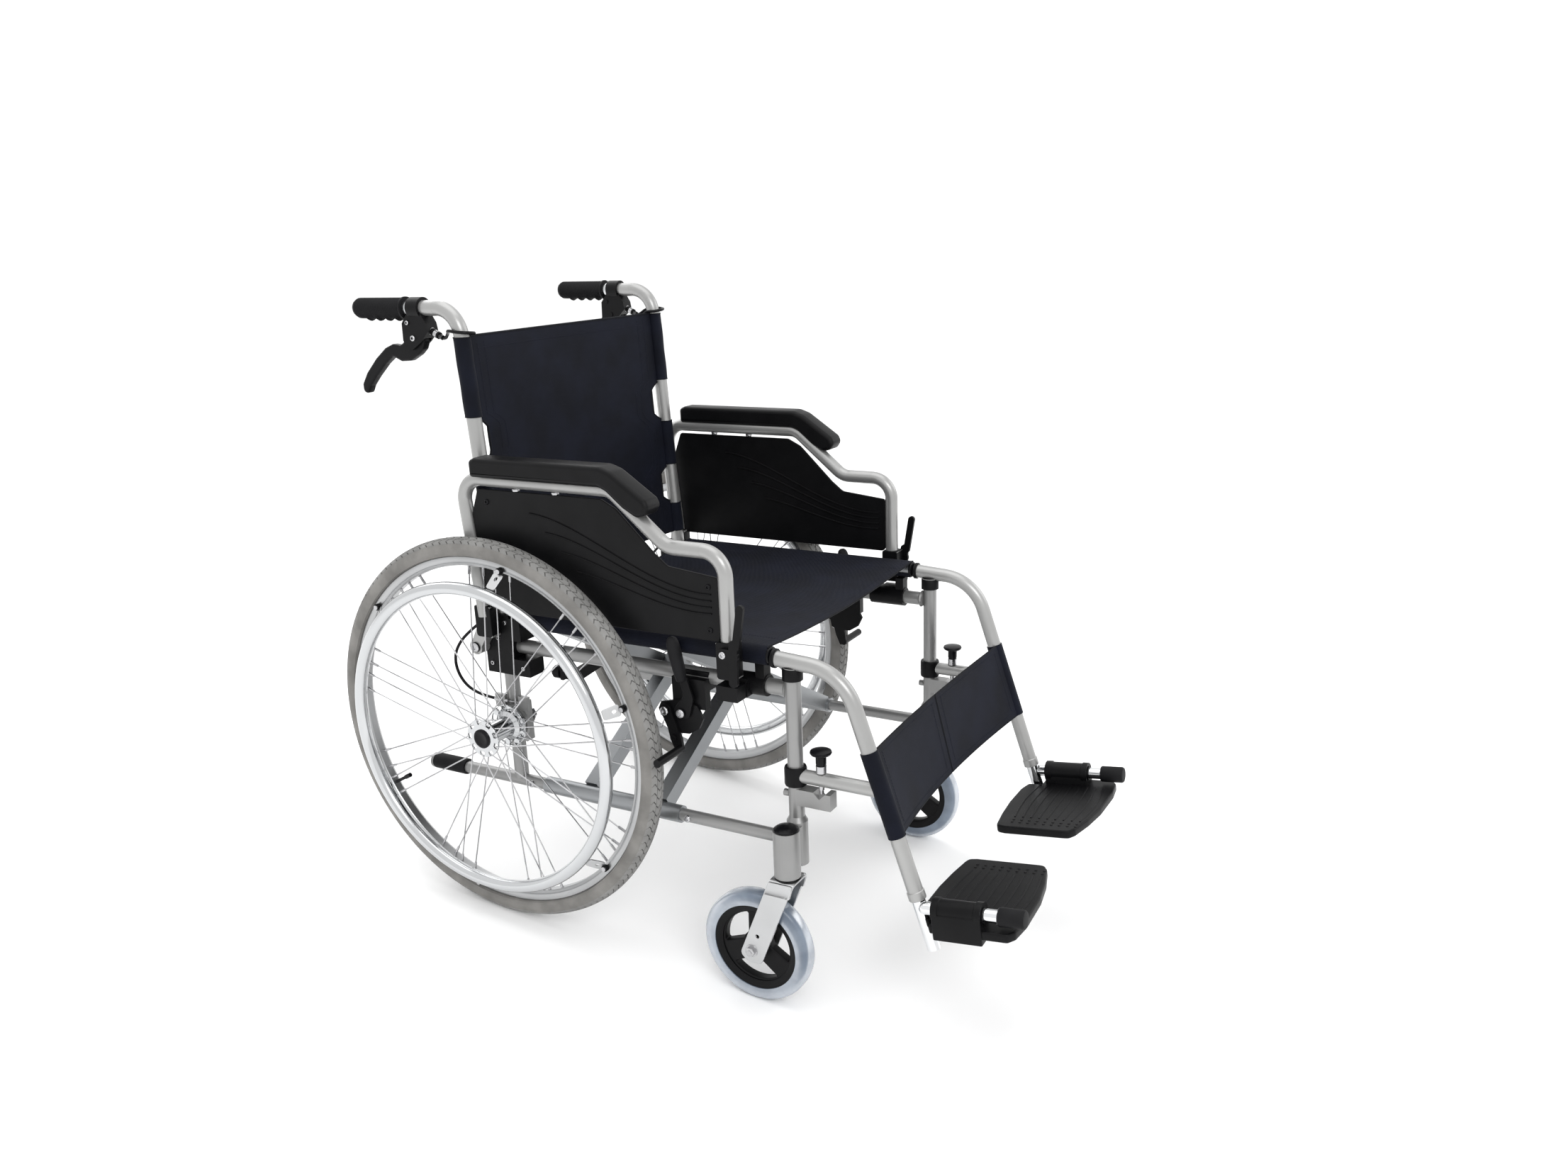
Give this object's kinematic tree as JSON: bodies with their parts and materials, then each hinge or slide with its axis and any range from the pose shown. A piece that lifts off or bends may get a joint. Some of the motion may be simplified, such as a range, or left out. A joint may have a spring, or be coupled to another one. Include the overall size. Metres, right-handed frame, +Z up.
{
  "type": "wheelchair",
  "caption": "Folding manual wheelchair with spoked rear wheels, swivel casters, cross brace, flip-back armrests, swing-away footrests and attendant brakes.",
  "frame": {"origin": "on the floor, centred under the overall bounding box", "axes": "the chair faces -Y, +X is the occupant's left, +Z is up; both rear wheels and both casters touch Z = 0"},
  "size_m": [0.7, 1.1386, 0.929],
  "materials": {
    "frame_silver": "satin metallic",
    "bright_tube": "satin metallic",
    "aluminium": "milled",
    "polished": "polished",
    "chrome": "polished",
    "steel": "satin",
    "fabric": "woven nylon",
    "black_plastic": "satin",
    "black_pad": "skinned foam",
    "black_rubber": "matt",
    "grey_tyre": "matt",
    "caster_pu": "translucent"
  },
  "bodies": {
    "frame_r": {"side_frame_r": "frame_silver", "rear_bracket_r": "black_plastic", "back_cane_r": "bright_tube", "push_grip_r": "black_rubber", "lever_mount_r": "black_plastic", "brake_cable_r": "black_plastic", "rail_fittings_r": "black_plastic", "back_sling": "fabric"},
    "frame_l": {"side_frame_l": "frame_silver", "rear_bracket_l": "black_plastic", "back_cane_l": "bright_tube", "push_grip_l": "black_rubber", "lever_mount_l": "black_plastic", "brake_cable_l": "black_plastic", "rail_fittings_l": "black_plastic"},
    "brace_a": {"brace_a": "aluminium", "seat_sling": "fabric"},
    "brace_b": {"brace_b": "aluminium"},
    "link_r": {"fold_link_r": "black_plastic"},
    "wheel_r": {"tyre_r": "grey_tyre", "rim_r": "aluminium", "hub_r": "polished", "handrim_r": "polished"},
    "fork_r": {"caster_fork_r": "aluminium"},
    "caster_r": {"caster_core_r": "black_plastic", "caster_tyre_r": "caster_pu"},
    "armrest_r": {"arm_tube_r": "bright_tube", "arm_pad_r": "black_pad", "arm_skirt_r": "black_plastic"},
    "arm_catch_r": {"arm_lever_r": "black_plastic"},
    "hanger_r": {"hanger_r": "bright_tube", "calf_strap_r": "fabric"},
    "knob_r": {"hanger_knob_r": "black_plastic"},
    "foot_tube_r": {"foot_tube_r": "chrome"},
    "plate_bush_r": {"plate_bush_r": "black_plastic"},
    "footplate_r": {"footplate_r": "black_plastic"},
    "lock_lever_r": {"lock_lever_r": "black_plastic"},
    "lock_shoe_r": {"lock_shoe_r": "steel"},
    "brake_lever_r": {"brake_lever_r": "black_plastic"},
    "link_l": {"fold_link_l": "black_plastic"},
    "wheel_l": {"tyre_l": "grey_tyre", "rim_l": "aluminium", "hub_l": "polished", "handrim_l": "polished"},
    "fork_l": {"caster_fork_l": "aluminium"},
    "caster_l": {"caster_core_l": "black_plastic", "caster_tyre_l": "caster_pu"},
    "armrest_l": {"arm_tube_l": "bright_tube", "arm_pad_l": "black_pad", "arm_skirt_l": "black_plastic"},
    "arm_catch_l": {"arm_lever_l": "black_plastic"},
    "hanger_l": {"hanger_l": "bright_tube", "calf_strap_l": "fabric"},
    "knob_l": {"hanger_knob_l": "black_plastic"},
    "foot_tube_l": {"foot_tube_l": "chrome"},
    "plate_bush_l": {"plate_bush_l": "black_plastic"},
    "footplate_l": {"footplate_l": "black_plastic"},
    "lock_lever_l": {"lock_lever_l": "black_plastic"},
    "lock_shoe_l": {"lock_shoe_l": "steel"},
    "brake_lever_l": {"brake_lever_l": "black_plastic"}
  },
  "joints": [
    {"name": "fold", "type": "hinge", "parent": "frame_r", "child": "brace_a", "pos_m": [-0.243, 0.25552, 0.20147], "axis": [0, -0.9955, 0.095], "range_deg": [0, 38.9], "deforming": ["seat_sling", "back_sling", "calf_strap_r", "calf_strap_l"]},
    {"name": "cross_pivot", "type": "hinge", "parent": "brace_a", "child": "brace_b", "pos_m": [0, 0.26836, 0.33611], "axis": [0, -0.9955, 0.095], "range_deg": [-78.3, 0.5]},
    {"name": "left_rail", "type": "hinge", "parent": "brace_b", "child": "frame_l", "pos_m": [0.243, 0.25552, 0.20147], "axis": [0, -0.9955, 0.095], "range_deg": [-0.5, 39.4]},
    {"name": "link_pivot_r", "type": "hinge", "parent": "frame_r", "child": "link_r", "pos_m": [-0.231, 0.27347, 0.38961], "axis": [0, -0.9955, 0.095], "range_deg": [-0.5, 70.52]},
    {"name": "wheel_spin_r", "type": "hinge", "parent": "frame_r", "child": "wheel_r", "pos_m": [-0.299, 0.2653, 0.304], "axis": [1, 0, 0], "continuous": true},
    {"name": "caster_swivel_r", "type": "hinge", "parent": "frame_r", "child": "fork_r", "pos_m": [-0.28, -0.23435, 0.2472], "axis": [0, 0.095, 0.9955], "continuous": true},
    {"name": "caster_spin_r", "type": "hinge", "parent": "fork_r", "child": "caster_r", "pos_m": [-0.28, -0.1985, 0.086], "axis": [1, 0, 0], "continuous": true},
    {"name": "armrest_flip_r", "type": "hinge", "parent": "frame_r", "child": "armrest_r", "pos_m": [-0.262, 0.32029, 0.42231], "axis": [-1, 0, 0], "range_deg": [0, 90]},
    {"name": "arm_release_r", "type": "hinge", "parent": "armrest_r", "child": "arm_catch_r", "pos_m": [-0.284, -0.12333, 0.51587], "axis": [1, 0, 0], "range_deg": [0, 25], "stiffness_Nm_per_rad": 0.3, "springref_deg": -5.73},
    {"name": "hanger_swing_r", "type": "hinge", "parent": "frame_r", "child": "hanger_r", "pos_m": [-0.241, -0.20997, 0.46587], "axis": [0, -0.095, -0.9955], "range_deg": [0, 90]},
    {"name": "knob_pull_r", "type": "slide", "parent": "hanger_r", "child": "knob_r", "axis": [0, 0.095, 0.9955], "range_m": [0, 0.01], "stiffness_N_per_m": 400, "springref_m": -0.004},
    {"name": "foot_height_r", "type": "slide", "parent": "hanger_r", "child": "foot_tube_r", "axis": [0, -0.4141, -0.9102], "range_m": [0, 0.06]},
    {"name": "fold_plate_r", "type": "hinge", "parent": "foot_tube_r", "child": "plate_bush_r", "pos_m": [-0.247, -0.43085, 0.20919], "axis": [0, -0.9765, 0.2156], "range_deg": [-0.5, 90.5]},
    {"name": "footplate_flip_r", "type": "hinge", "parent": "plate_bush_r", "child": "footplate_r", "pos_m": [-0.247, -0.43085, 0.20919], "axis": [0, -0.9765, 0.2156], "range_deg": [0, 90]},
    {"name": "wheel_lock_r", "type": "hinge", "parent": "frame_r", "child": "lock_lever_r", "pos_m": [-0.2638, -0.0476, 0.40417], "axis": [1, 0, 0], "range_deg": [0, 35]},
    {"name": "lock_shoe_r", "type": "hinge", "parent": "frame_r", "child": "lock_shoe_r", "pos_m": [-0.2638, -0.02072, 0.40161], "axis": [1, 0, 0], "range_deg": [-0.5, 4.5]},
    {"name": "brake_squeeze_r", "type": "hinge", "parent": "frame_r", "child": "brake_lever_r", "pos_m": [-0.241, 0.43785, 0.87017], "axis": [1, 0, 0], "range_deg": [0, 18], "stiffness_Nm_per_rad": 1, "springref_deg": -17.19},
    {"name": "link_pivot_l", "type": "hinge", "parent": "frame_l", "child": "link_l", "pos_m": [0.231, 0.27347, 0.38961], "axis": [0, 0.9955, -0.095], "range_deg": [-0.5, 70.52]},
    {"name": "wheel_spin_l", "type": "hinge", "parent": "frame_l", "child": "wheel_l", "pos_m": [0.299, 0.2653, 0.304], "axis": [1, 0, 0], "continuous": true},
    {"name": "caster_swivel_l", "type": "hinge", "parent": "frame_l", "child": "fork_l", "pos_m": [0.28, -0.23435, 0.2472], "axis": [0, 0.095, 0.9955], "continuous": true},
    {"name": "caster_spin_l", "type": "hinge", "parent": "fork_l", "child": "caster_l", "pos_m": [0.28, -0.1985, 0.086], "axis": [1, 0, 0], "continuous": true},
    {"name": "armrest_flip_l", "type": "hinge", "parent": "frame_l", "child": "armrest_l", "pos_m": [0.262, 0.32029, 0.42231], "axis": [-1, 0, 0], "range_deg": [0, 90]},
    {"name": "arm_release_l", "type": "hinge", "parent": "armrest_l", "child": "arm_catch_l", "pos_m": [0.284, -0.12333, 0.51587], "axis": [1, 0, 0], "range_deg": [0, 25], "stiffness_Nm_per_rad": 0.3, "springref_deg": -5.73},
    {"name": "hanger_swing_l", "type": "hinge", "parent": "frame_l", "child": "hanger_l", "pos_m": [0.241, -0.20997, 0.46587], "axis": [0, 0.095, 0.9955], "range_deg": [0, 90]},
    {"name": "knob_pull_l", "type": "slide", "parent": "hanger_l", "child": "knob_l", "axis": [0, 0.095, 0.9955], "range_m": [0, 0.01], "stiffness_N_per_m": 400, "springref_m": -0.004},
    {"name": "foot_height_l", "type": "slide", "parent": "hanger_l", "child": "foot_tube_l", "axis": [0, -0.4141, -0.9102], "range_m": [0, 0.06]},
    {"name": "fold_plate_l", "type": "hinge", "parent": "foot_tube_l", "child": "plate_bush_l", "pos_m": [0.247, -0.43085, 0.20919], "axis": [0, 0.9765, -0.2156], "range_deg": [-0.5, 90.5]},
    {"name": "footplate_flip_l", "type": "hinge", "parent": "plate_bush_l", "child": "footplate_l", "pos_m": [0.247, -0.43085, 0.20919], "axis": [0, 0.9765, -0.2156], "range_deg": [0, 90]},
    {"name": "wheel_lock_l", "type": "hinge", "parent": "frame_l", "child": "lock_lever_l", "pos_m": [0.2638, -0.0476, 0.40417], "axis": [1, 0, 0], "range_deg": [0, 35]},
    {"name": "lock_shoe_l", "type": "hinge", "parent": "frame_l", "child": "lock_shoe_l", "pos_m": [0.2638, -0.02072, 0.40161], "axis": [1, 0, 0], "range_deg": [-0.5, 4.5]},
    {"name": "brake_squeeze_l", "type": "hinge", "parent": "frame_l", "child": "brake_lever_l", "pos_m": [0.241, 0.43785, 0.87017], "axis": [1, 0, 0], "range_deg": [0, 18], "stiffness_Nm_per_rad": 1, "springref_deg": -17.19}
  ],
  "couplings": [
    {"joint": "cross_pivot", "follows": "fold", "ratio": -2},
    {"joint": "left_rail", "follows": "fold", "ratio": 1},
    {"joint": "link_pivot_r", "follows": "fold", "ratio": 1.8},
    {"joint": "fold_plate_r", "follows": "fold", "ratio": 2.3136},
    {"joint": "lock_shoe_r", "follows": "wheel_lock_r", "ratio": 0.11429},
    {"joint": "link_pivot_l", "follows": "fold", "ratio": 1.8},
    {"joint": "fold_plate_l", "follows": "fold", "ratio": 2.3136},
    {"joint": "lock_shoe_l", "follows": "wheel_lock_l", "ratio": 0.11429}
  ]
}
